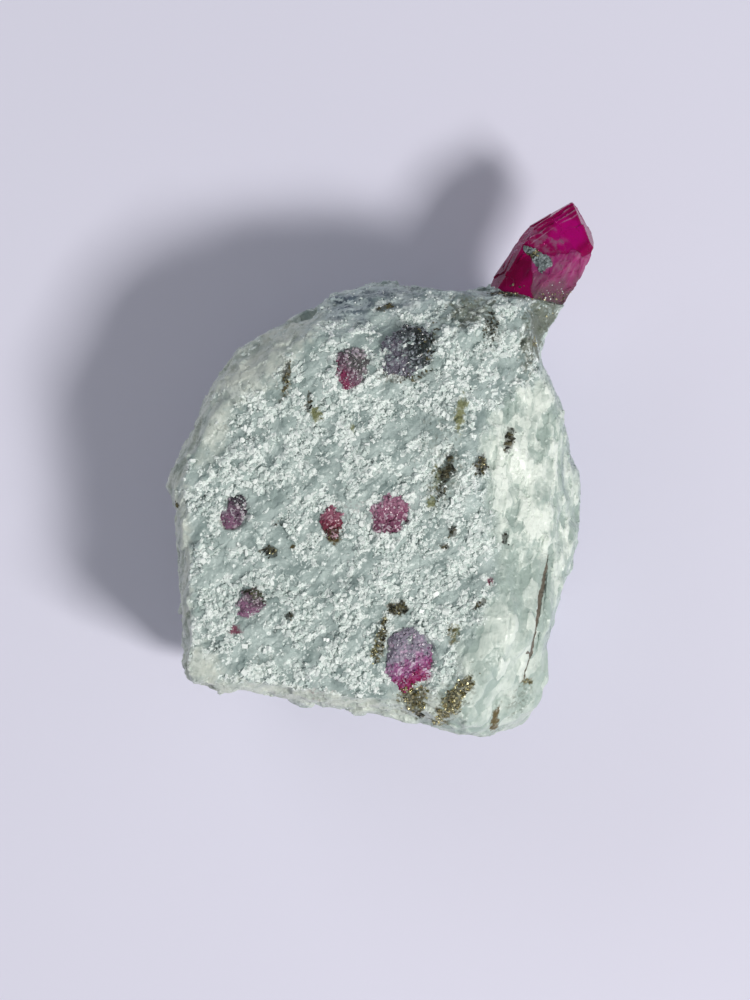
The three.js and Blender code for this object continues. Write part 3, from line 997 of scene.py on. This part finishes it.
crystalPlan = {
    "voxel": 0.13,  # mm
    "settle": 3,    # rounds of smoothing
    "ledges": {
        "towards": (-0.53, 0.85),
        "start": 17.4,          # mm on the face
        "step": 0.46,           # mm
        "count": 3,
        "drop": 0.18,           # mm
        "above": (12.5, 15.5),  # mm above the floor
        "waver": [(0.25, 1.6, 34)],
        "lip": (0.7, 0.95),     # share of a step
        "lipFrom": -0.3,        # steps
        "wear": [(1, 1.1, 35)],
        "worn": (-0.35, 0.25),
    },
    "matte": {"right": 15.9, "below": 29.0, "soft": 0.5},  # mm on the face, past these it is dull
    "edge": {"at": (20.4, 34.4), "towards": (0.8, 0.6), "soft": 0.3, "share": 0.55},  # facet on the right
    "footFrom": (28.2, 23.6),     # mm on the face, where it turns grey towards the rock
    "ragged": [(0.8, 1.2, 31)],   # mm aside, mm long, seed
    "fray": {"right": 0.4, "edge": 0.15, "foot": 1.5},  # how ragged each border is
    "patches": {
        "window": spot(13.8, 26.9, 2.3, 1.5, turn=30),
        # painted glow: brighter magenta where light shines through the crystal
        "glow": spot(19.9, 31.2, 1.9, 2.2, turn=-20),
        "frost": spot(17.4, 30.6, 2.2, 1.4, turn=-25),
    },
    "patchWaver": [(0.3, 0.9, 33)],
    "patchSoft": (1.3, 0.7),
    "grains": {
        "pyrite": [spot(18.0, 24.2, 1.9, 0.6, turn=14, strength=0.4)],
        "mica": [spot(14.4, 25.4, 1.6, 0.35, turn=-12, strength=0.5),
                 spot(17.9, 23.7, 2.4, 0.5, turn=-8, strength=0.4)],
        "dust": [spot(17.6, 24.6, 2.0, 0.9, turn=10, strength=0.3)],
    },
    "grainSoftness": 0.4,
    "facet": breakage(cell=2.6, tilt=0.1, lift=0.03, turn=0.5),
    "chip": breakage(cell=1.1, tilt=0.22, lift=0.04, turn=0.2),
    "deep": srgb(164, 2, 88),
    "bright": srgb(192, 2, 122),
    "dark": srgb(122, 0, 52),
    "dull": srgb(158, 42, 112),
    "dusty": srgb(168, 104, 138),
    "foot": srgb(94, 78, 82),
    "pale": srgb(214, 164, 202),
    "streak": (1.12, (2.8, 0.42, 0.6)),  # turn and lengths
    "streakSize": 1.0,  # mm
    "veilSize": 0.8,    # mm
    "chipSize": 0.5,    # mm
    "frostLevels": (0.42, 0.62),
    "dustLevels": (0.5, 0.82),
    "matteLevels": (0.5, 0.85),
    "unevenFrom": {"streak": 0.7, "veil": 0.5},
    "matteFrom": {"veil": 0.5},
    "ledgeShare": 0.7,
    "chipRelief": 0.3,
    "roughness": (0.08, 0.5),
    "bump": (0.45, 0.25 * mm),
    "body": {"IOR": 1.77, "Subsurface Radius": (1, 0.1, 0.5), "Subsurface Scale": 1.5 * mm},
    "finish": {
        # Specular Tint colours the reflections pink: a painted reflection of reddish surroundings
        "clear_ruby": {"Transmission Weight": 0.45, "Specular IOR Level": 0.3,
                       "Specular Tint": (0.9, 0.16, 0.55, 1), "Subsurface Weight": 0.3},
        "dull_ruby": {"Transmission Weight": 0.15, "Specular IOR Level": 0.2,
                      "Specular Tint": (0.9, 0.4, 0.65, 1), "Subsurface Weight": 0.4},
    },
}


def cutLedges(piece):
    plan = crystalPlan["ledges"]
    points = pointsOf(piece)
    x, y = onFace(points)
    across = x * plan["towards"][0] + y * plan["towards"][1] - plan["start"]
    steps = wavered(across, points, plan["waver"]) / plan["step"]
    level = np.clip(np.floor(steps), 0, plan["count"])
    upper = ramp(points[:, 2], *plan["above"])
    points[:, 2] -= level * plan["drop"] * upper
    placePoints(piece, points)
    stepping = (steps > plan["lipFrom"]) & (steps < plan["count"])
    lip = np.where(stepping, ramp(steps - np.floor(steps), *plan["lip"]), 0)
    return lip * upper * ramp(wavered(0, points, plan["wear"]), *plan["worn"])


def paintCrystal(piece, ledge):
    plan = crystalPlan
    points = pointsOf(piece)
    x, y = onFace(points)
    dull = plan["matte"]
    fray = plan["fray"]
    ragged = wavered(0, points, plan["ragged"])
    matte = ramp(x - dull["right"] + fray["right"] * ragged, -dull["soft"], dull["soft"])
    matte = matte * ramp(dull["below"] - y + ragged, -dull["soft"], dull["soft"])
    edge = plan["edge"]
    past = (x - edge["at"][0]) * edge["towards"][0] + (y - edge["at"][1]) * edge["towards"][1]
    matte = np.maximum(matte, edge["share"] * ramp(past + fray["edge"] * ragged, 0, edge["soft"]))
    paint(piece, "matte", matte)
    paint(piece, "glassy", 1 - matte)
    paint(piece, "ledge", ledge)
    paint(piece, "foot", ramp(y + fray["foot"] * ragged, *plan["footFrom"]))
    paint(piece, "crumbs", np.zeros(len(points)))
    for zone, place in plan["patches"].items():
        near = wavered(spotShare(points, place), points, plan["patchWaver"])
        paint(piece, zone, ramp(near, *plan["patchSoft"]))
    paintSpots(piece, points, plan["grains"], plan["grainSoftness"])
    return matte


def makeCrystalMaterial(name):
    plan = crystalPlan
    material, tree, shader = newMaterial(name, {**plan["body"], **plan["finish"][name]})
    place = inMillimetres(tree)
    streak = cloudNode(tree, turnedPlace(tree, place, *plan["streak"]), plan["streakSize"], detail=3.0)
    veil = cloudNode(tree, place, plan["veilSize"], detail=4.0)
    chip = grainNode(tree, place, plan["chipSize"])
    # the glow patch paints light into the colour, as where light shines through
    glass = mixColour(tree, zoneMask(tree, "glow"), plan["deep"], plan["bright"])
    glass = mixColour(tree, zoneMask(tree, "window"), glass, plan["dark"])
    frost = calculate(tree, "MULTIPLY", zoneMask(tree, "frost"), stepped(tree, veil, *plan["frostLevels"]))
    glass = mixColour(tree, frost, glass, plan["dusty"])
    uneven = calculate(tree, "MULTIPLY", streak, plan["unevenFrom"]["streak"])
    uneven = addTimes(tree, veil, plan["unevenFrom"]["veil"], uneven)
    dull = mixColour(tree, stepped(tree, uneven, *plan["dustLevels"]), plan["dull"], plan["dusty"])
    dull = mixColour(tree, zoneMask(tree, "foot"), dull, plan["foot"])
    matte = addTimes(tree, veil, plan["matteFrom"]["veil"], zoneMask(tree, "matte"))
    matte = stepped(tree, matte, *plan["matteLevels"])
    colour = mixColour(tree, matte, glass, dull)
    ledge = calculate(tree, "MULTIPLY", zoneMask(tree, "ledge"), plan["ledgeShare"])
    colour = mixColour(tree, ledge, colour, plan["pale"])
    chipped = calculate(tree, "MULTIPLY", chip["Height"], plan["chipRelief"])
    dressStone(tree, shader, plan, colour, matte, addTimes(tree, uneven, matte, chipped))
    return material


def makeCrystal():
    plan = crystalPlan
    piece = copyNode("ruby_crystal", "standing_ruby")
    remesh(piece, plan["voxel"], plan["settle"])
    matte = paintCrystal(piece, cutLedges(piece)).clip(0, 1)
    applyNodes(piece, brokenGrain, Zone="glassy", **plan["facet"])
    applyNodes(piece, brokenGrain, Zone="matte", **plan["chip"])
    for name in plan["finish"]:
        piece.data.materials.append(makeCrystalMaterial(name))
    for face in piece.data.polygons:
        face.material_index = int(matte[list(face.vertices)].mean() > 0.5)
    settlePiece(piece, "ruby", "ruby_crystal")
    return piece


crystal = makeCrystal()


# Grey crumb of marble on the crystal

crumbPlan = {
    "parts": [  # place on the face and reach to each side in mm, turn in degrees
        {"at": (16.95, 28.0), "size": (1.3, 0.95, 0.3), "turn": -35},
        {"at": (15.7, 29.1), "size": (1.0, 0.45, 0.26), "turn": -40},
        {"at": (17.0, 27.2), "size": (0.5, 0.75, 0.26), "turn": 10},
    ],
    "voxel": 0.09,  # mm
    "chunk": breakage(cell=0.9, tilt=0.5, lift=0.12, turn=0.3),
    "grain": breakage(cell=0.35, tilt=0.6, lift=0.08, turn=0.8),
    "grains": {
        "pyrite": [spot(16.3, 28.8, 0.45, 0.35)],
        "mica": [spot(15.6, 28.6, 0.5, 0.4)],
    },
    "grainSoftness": 0.4,
    "dark": srgb(80, 89, 90),
    "pale": srgb(146, 157, 160),
    "fleck": 0.24,  # mm
    "murk": 0.7,    # mm
    "murkFrom": {"fine": 0.4},
    "murkLevels": (0.5, 0.95),
    "roughness": (0.35, 0.6),
    "bump": (0.7, 0.2 * mm),
}


def makeCrumbMaterial():
    plan = crumbPlan
    material, tree, shader = newMaterial("grey_marble", {})
    place = inMillimetres(tree)
    fine = grainNode(tree, place, plan["fleck"])
    murk = cloudNode(tree, place, plan["murk"], detail=3.0)
    murk = addTimes(tree, fine["Tone"], plan["murkFrom"]["fine"], murk)
    colour = mixColour(tree, stepped(tree, murk, *plan["murkLevels"]), plan["dark"], plan["pale"])
    dressStone(tree, shader, plan, colour, fine["Tone"], fine["Height"])
    return material


def makeCrumb():
    plan = crumbPlan
    surface = BVHTree.FromObject(crystal, bpy.context.evaluated_depsgraph_get())
    parts = []
    for part in plan["parts"]:
        x = faceMiddle.x + part["at"][0]
        y = faceMiddle.y + part["at"][1]
        bpy.ops.object.select_all(action="DESELECT")
        bpy.ops.mesh.primitive_ico_sphere_add(
            subdivisions=3, radius=mm, location=Vector((x, y, heightOn(surface, x, y))) * mm,
            rotation=(0, 0, math.radians(part["turn"])), scale=part["size"],
        )
        bpy.ops.object.transform_apply(location=True, rotation=True, scale=True)
        parts.append(bpy.context.active_object)
    piece = parts[0]
    piece.name = "crystal_crumb"
    joinAll(piece, parts)
    remesh(piece, plan["voxel"])
    points = pointsOf(piece)
    paint(piece, "rough", np.ones(len(points)))
    paintSpots(piece, points, plan["grains"], plan["grainSoftness"])
    applyNodes(piece, brokenGrain, Zone="rough", **plan["chunk"])
    applyNodes(piece, brokenGrain, Zone="rough", **plan["grain"])
    piece.data.materials.append(makeCrumbMaterial())
    settlePiece(piece, "marble")
    return piece


crystalCrumb = makeCrumb()


# Rubies seated in the face

def rubyFinish(first, middle, last, fleck, **rest):
    return {"colours": [srgb(*first), srgb(*middle), srgb(*last)], "fleck": srgb(*fleck), **rest}


seatedPlan = {
    "voxel": 0.15,  # mm
    "grow": 0.42,   # mm, covers the gap round the seat
    "sink": 0.5,    # mm
    "settle": 8,    # rounds of smoothing
    "lump": breakage(cell=1.9, tilt=0.25, lift=0.1, turn=0.4),
    "grain": breakage(cell=0.6, tilt=0.6, lift=0.12, turn=0.9),
    "shapes": [
        grainShape("ball", (1, 0.8, 0.7), jitter=0.16),
        grainShape("block", (0.9, 0.7, 0.6), jitter=0.18),
    ],
    "spread": {"Zone": "rough", "Spacing": 0.34 * mm, "Most": 7e6, "Smallest": 0.24 * mm, "Largest": 0.6 * mm,
               "Tumble": (0.9, 0.9, 3.1), "Seed": 6},
    "rim": (0.6, 1.2),  # share of the half width, from the clear middle to the dusty rim
    "rimWaver": [(0.5, 0.8, 51)],
    "middleDust": 0.3,  # share of the rim's grains
    "crumbShare": 0.3,
    "tone": 0.4,        # of the ruby under its grains
    "fleck": 0.55,      # mm
    "fineFleck": 0.25,  # mm
    "murk": 0.9,        # mm
    "middleLevels": (0.65, 1.25),
    "lastLevels": (1.45, 1.95),
    "fleckLevels": (1.4, 1.72),
    "sideFrom": {"murk": 1.6, "fine": 0.35, "tone": 0.4},
    "fleckFrom": {"coarse": 0.6, "fine": 0.5, "tone": 0.7},
    "reliefFrom": {"fine": 0.6},
    "roughness": (0.16, 0.5),
    "bump": (0.6, 0.3 * mm),
    "body": {"Subsurface Weight": 0.25, "Subsurface Radius": (1, 0.5, 0.8), "Subsurface Scale": 0.6 * mm},
    # colours from one side to the other and of the flecks, the share of flecks and of rock grains over it
    "finish": {
        "ruby_round": rubyFinish((160, 112, 136), (142, 86, 114), (118, 68, 94), (216, 192, 206),
                                 towards=(0.3, -0.9), shift=0, share=0.5, dust=0.1),
        "ruby_lower": rubyFinish((148, 141, 158), (156, 94, 142), (138, 20, 84), (212, 186, 210),
                                 towards=(0.4, -0.9), shift=0.3, share=0.36, dust=0.05),
        "ruby_small": rubyFinish((146, 88, 108), (118, 44, 66), (70, 42, 34), (196, 160, 172),
                                 towards=(0, -1), shift=0, share=0.34, dust=0.3),
        "ruby_left": rubyFinish((132, 96, 122), (100, 76, 96), (66, 60, 70), (182, 172, 182),
                                towards=(0.7, 0.6), shift=0, share=0.46, dust=0.45),
        "ruby_corner": rubyFinish((138, 100, 128), (102, 84, 98), (74, 76, 62), (178, 166, 176),
                                  towards=(0.5, 0.8), shift=0, share=0.4, dust=0.4),
        "ruby_upper": rubyFinish((96, 94, 96), (116, 86, 104), (132, 54, 88), (184, 172, 182),
                                 towards=(-0.8, -0.6), shift=0, share=0.5, dust=0.4),
        "ruby_dark": rubyFinish((106, 102, 116), (66, 72, 76), (44, 52, 52), (150, 158, 164),
                                towards=(0.8, 0.4), shift=0, share=0.56, dust=0.05),
    },
}


def makeSeatedMaterial(name, finish, middle, reach):
    plan = seatedPlan
    material, tree, shader = newMaterial(name, plan["body"])
    place = inMillimetres(tree)
    centred = addNode(tree, "ShaderNodeMapping", {"Vector": place, "Location": middle * -1}).outputs["Vector"]
    towards = Vector((*finish["towards"], 0)).normalized() / reach
    coarse = grainNode(tree, place, plan["fleck"])
    fine = grainNode(tree, place, plan["fineFleck"])
    tone = zoneMask(tree, "tone")
    murk = cloudNode(tree, place, plan["murk"], detail=3.0)
    adds = plan["sideFrom"]
    ragged = addTimes(tree, murk, adds["murk"], vectors(tree, "DOT_PRODUCT", centred, towards))
    ragged = addTimes(tree, fine["Tone"], adds["fine"], ragged)
    ragged = addTimes(tree, tone, adds["tone"], ragged)
    colour = finish["colours"][0]
    for levels, further in zip((plan["middleLevels"], plan["lastLevels"]), finish["colours"][1:]):
        share = stepped(tree, ragged, levels[0] + finish["shift"], levels[1] + finish["shift"])
        colour = mixColour(tree, share, colour, further)
    adds = plan["fleckFrom"]
    likely = calculate(tree, "MULTIPLY", coarse["Tone"], adds["coarse"])
    likely = addTimes(tree, fine["Tone"], adds["fine"], likely)
    likely = addTimes(tree, tone, adds["tone"], likely)
    fleck = stepped(tree, likely, *[level - finish["share"] for level in plan["fleckLevels"]])
    colour = mixColour(tree, fleck, colour, finish["fleck"])
    height = addTimes(tree, fine["Height"], plan["reliefFrom"]["fine"], coarse["Height"])
    dressStone(tree, shader, plan, colour, coarse["Tone"], height)
    return material


def makeSeatedRuby(name):
    plan = seatedPlan
    finish = plan["finish"][name]
    low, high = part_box(name)
    middle = (low + high) / 2 / mm
    reach = (high - low).xy.length / 4 / mm
    kind, place = name.split("_")
    piece = copyNode(name, place + "_" + kind)
    editAll(piece)
    bpy.ops.transform.shrink_fatten(value=plan["grow"] * mm)
    bpy.ops.transform.translate(value=(0, 0, -plan["sink"] * mm))
    endEdit()
    remesh(piece, plan["voxel"], plan["settle"])
    points = pointsOf(piece)
    away = np.hypot(points[:, 0] - middle.x, points[:, 1] - middle.y) / reach
    rim = ramp(wavered(away, points, plan["rimWaver"]), *plan["rim"])
    dusty = atLeast(plan["middleDust"], rim) * finish["dust"]
    paint(piece, "rough", np.ones(len(points)))
    paint(piece, "tone", np.full(len(points), plan["tone"]))
    paint(piece, "dust", dusty)
    paint(piece, "crumbs", dusty * plan["crumbShare"])
    for zone in ("mica", "pyrite"):
        paint(piece, zone, spotField(points, spotPlan[zone], spotSoftness[zone]))
    applyNodes(piece, brokenGrain, Zone="rough", **plan["lump"])
    applyNodes(piece, brokenGrain, Zone="rough", **plan["grain"])
    joinAll(piece, [scatterOn(piece, name + "_grains", rubyShapes, plan["spread"])])
    piece.data.materials.append(makeSeatedMaterial(piece.name, finish, middle, reach))
    settlePiece(piece, "dark_ruby" if name == "ruby_dark" else "granular_ruby", name)
    return piece


rubyShapes = makeShapes("ruby_shapes", seatedPlan["shapes"])
seatedRubies = [makeSeatedRuby(name) for name in faceRubies]


# Crumbs of calcite, flakes of mica and grains of pyrite

grainPlan = {
    "calcite_crumbs": {
        "finish": "calcite",
        "shapes": [
            grainShape("block", (1, 0.8, 0.5), jitter=0.16),
            grainShape("block", (0.9, 0.7, 0.6), jitter=0.2),
            grainShape("ball", (1, 0.8, 0.5), jitter=0.16),
            grainShape("ball", (1.3, 0.7, 0.45), jitter=0.14),
        ],
        "spread": {"Zone": "crumbs", "Spacing": 0.36 * mm, "Most": 6e6, "Smallest": 0.3 * mm,
                   "Largest": 0.86 * mm, "Tumble": (0.8, 0.8, 3.1), "Seed": 4},
    },
    "calcite_sugar": {
        "finish": "calcite",
        "shapes": [
            grainShape("chip", (1, 1, 1), jitter=0.1, sides=3),
            grainShape("chip", (1, 0.8, 0.9), jitter=0.12, sides=4),
            grainShape("chip", (1.2, 0.7, 0.7), jitter=0.12, sides=4),
        ],
        "spread": {"Zone": "dust", "Spacing": 0.26 * mm, "Most": 8e6, "Smallest": 0.2 * mm,
                   "Largest": 0.46 * mm, "Tumble": (3.1, 3.1, 3.1), "Seed": 5},
    },
    "mica_flakes": {
        "finish": "mica",
        "shapes": [
            grainShape("block", (1, 0.75, 0.22), jitter=0.12),
            grainShape("block", (1.2, 0.5, 0.3), jitter=0.14),
            grainShape("ball", (0.9, 0.7, 0.4), jitter=0.16),
        ],
        "spread": {"Zone": "mica", "Spacing": 0.18 * mm, "Most": 11e6, "Smallest": 0.2 * mm,
                   "Largest": 0.66 * mm, "Tumble": (0.7, 0.7, 3.1), "Seed": 7},
    },
    "pyrite_grains": {
        "finish": "pyrite",
        "shapes": [
            grainShape("block", (1, 0.9, 0.8), jitter=0.1),
            grainShape("block", (1.3, 0.6, 0.5), jitter=0.12),
        ],
        "spread": {"Zone": "pyrite", "Spacing": 0.18 * mm, "Most": 12e6, "Smallest": 0.16 * mm,
                   "Largest": 0.48 * mm, "Tumble": (3.1, 3.1, 3.1), "Seed": 9},
    },
}
grainFinish = {
    "calcite": {"dark": srgb(188, 203, 199), "pale": srgb(242, 250, 247), "roughness": (0.3, 0.6),
                "body": {"Metallic": 0.0, "Subsurface Weight": 0.3, "Subsurface Radius": (1, 1.05, 1),
                         "Subsurface Scale": 0.5 * mm}},
    "mica": {"dark": srgb(22, 24, 18), "pale": srgb(92, 88, 62), "roughness": (0.2, 0.5),
             "body": {"Metallic": 0.0}},
    "pyrite": {"dark": srgb(140, 132, 96), "pale": srgb(232, 226, 186), "roughness": (0.18, 0.5),
               "body": {"Metallic": 1.0}},
}
grainTexture = {
    "fleck": 0.2,  # mm
    "toneFrom": {"fine": 0.35},
    "toneLevels": (0.15, 1.15),
    "bump": (0.45, 0.15 * mm),
}


def makeGrainMaterial(name):
    plan = {**grainTexture, **grainFinish[name]}
    material, tree, shader = newMaterial(name, plan["body"])
    fine = grainNode(tree, inMillimetres(tree), plan["fleck"])
    tone = addTimes(tree, fine["Tone"], plan["toneFrom"]["fine"], zoneMask(tree, "tone"))
    colour = mixColour(tree, stepped(tree, tone, *plan["toneLevels"]), plan["dark"], plan["pale"])
    dressStone(tree, shader, plan, colour, fine["Tone"], fine["Height"])
    return material


grainMaterials = {name: makeGrainMaterial(name) for name in grainFinish}
for grainName, grainSettings in grainPlan.items():
    hosts = [rock, crystal, *seatedRubies]
    if grainSettings["finish"] != "calcite":
        hosts.append(crystalCrumb)
    scatterPiece(grainName, hosts, grainSettings, grainMaterials[grainSettings["finish"]])


# Fissure with its brown vein

fissurePlan = {
    "at": (16.4, -11.5, 20.8),  # mm on the face, and above the floor
    "size": (2.0, 14.6, 4.2),   # mm
    "turn": -8,                 # degrees
    "lean": 14,                 # degrees
    "aside": 1.3,               # mm, where the rock beside the fissure is felt
    "sink": 0.03,               # mm under that rock
    "voxel": 0.12,              # mm
    "halfWidth": [(-7, 0.05), (-5.6, 0.14), (-4.2, 0.42), (-2.6, 0.26), (1, 0.3), (4, 0.22), (6.2, 0.08)],
    "course": [(-7, -0.55), (-4, -0.42), (-1, -0.2), (3, 0.05), (6.6, 0.2)],  # along, across in mm
    "waver": (0.12, 1.7, 42),   # mm aside, mm long, seed
    "fray": (0.1, 0.5, 43),
    "soft": 0.07,               # mm, at the vein's sides
    "depth": 0.16,              # mm
    "edge": 0.06,               # mm that the sides lie under the rock
    "sides": (0.55, 0.9),       # mm across, where it dips under the rock
    "ends": (6.9, 7.2),         # mm along
    "rough": 0.06,
}


def makeFissure():
    plan = fissurePlan
    middle = Vector((faceMiddle.x + plan["at"][0], faceMiddle.y + plan["at"][1], plan["at"][2]))
    turn = math.radians(plan["turn"])
    bpy.ops.object.select_all(action="DESELECT")
    bpy.ops.mesh.primitive_cube_add(
        size=mm, location=middle * mm, rotation=(0, math.radians(plan["lean"]), turn), scale=plan["size"],
    )
    piece = bpy.context.active_object
    piece.name = "fissure_vein"
    bpy.ops.object.transform_apply(location=True, rotation=True, scale=True)
    remesh(piece, plan["voxel"])
    points = pointsOf(piece)
    along = -(points[:, 0] - middle.x) * math.sin(turn) + (points[:, 1] - middle.y) * math.cos(turn)
    across = (points[:, 0] - middle.x) * math.cos(turn) + (points[:, 1] - middle.y) * math.sin(turn)
    line = np.stack([along, 0 * along, 0 * along], axis=1)
    course = wavered(np.interp(along, *zip(*plan["course"])), line, [plan["waver"]])
    width = wavered(np.interp(along, *zip(*plan["halfWidth"])), points, [plan["fray"]])
    vein = ramp(np.abs(across - course) - width, plan["soft"], -plan["soft"])
    outside = np.maximum(ramp(np.abs(across), *plan["sides"]), ramp(np.abs(along), *plan["ends"]))
    drop = plan["sink"] + plan["depth"] * vein
    surface = BVHTree.FromObject(rock, bpy.context.evaluated_depsgraph_get())
    side = Vector((math.cos(turn), math.sin(turn)))
    for number, (x, y, z) in enumerate(points):
        start = Vector((x, y)) - side * (across[number] + plan["aside"])
        left = heightOn(surface, *start)
        right = heightOn(surface, *(start + side * 2 * plan["aside"]), left)
        share = 0.5 + across[number] / plan["aside"] / 2
        top = left + (right - left) * share - drop[number]
        under = heightOn(surface, x, y, left) - plan["edge"]
        points[number, 2] = min(z, top + (under - top) * outside[number])
    placePoints(piece, points)
    paint(piece, "cleaved", np.ones(len(points)))
    paint(piece, "rough", np.full(len(points), plan["rough"]))
    paint(piece, "white", spotField(points, spotPlan["white"], spotSoftness["white"]))
    paint(piece, "vein", vein)
    piece.data.materials.append(marble)
    settlePiece(piece, "marble")


makeFissure()
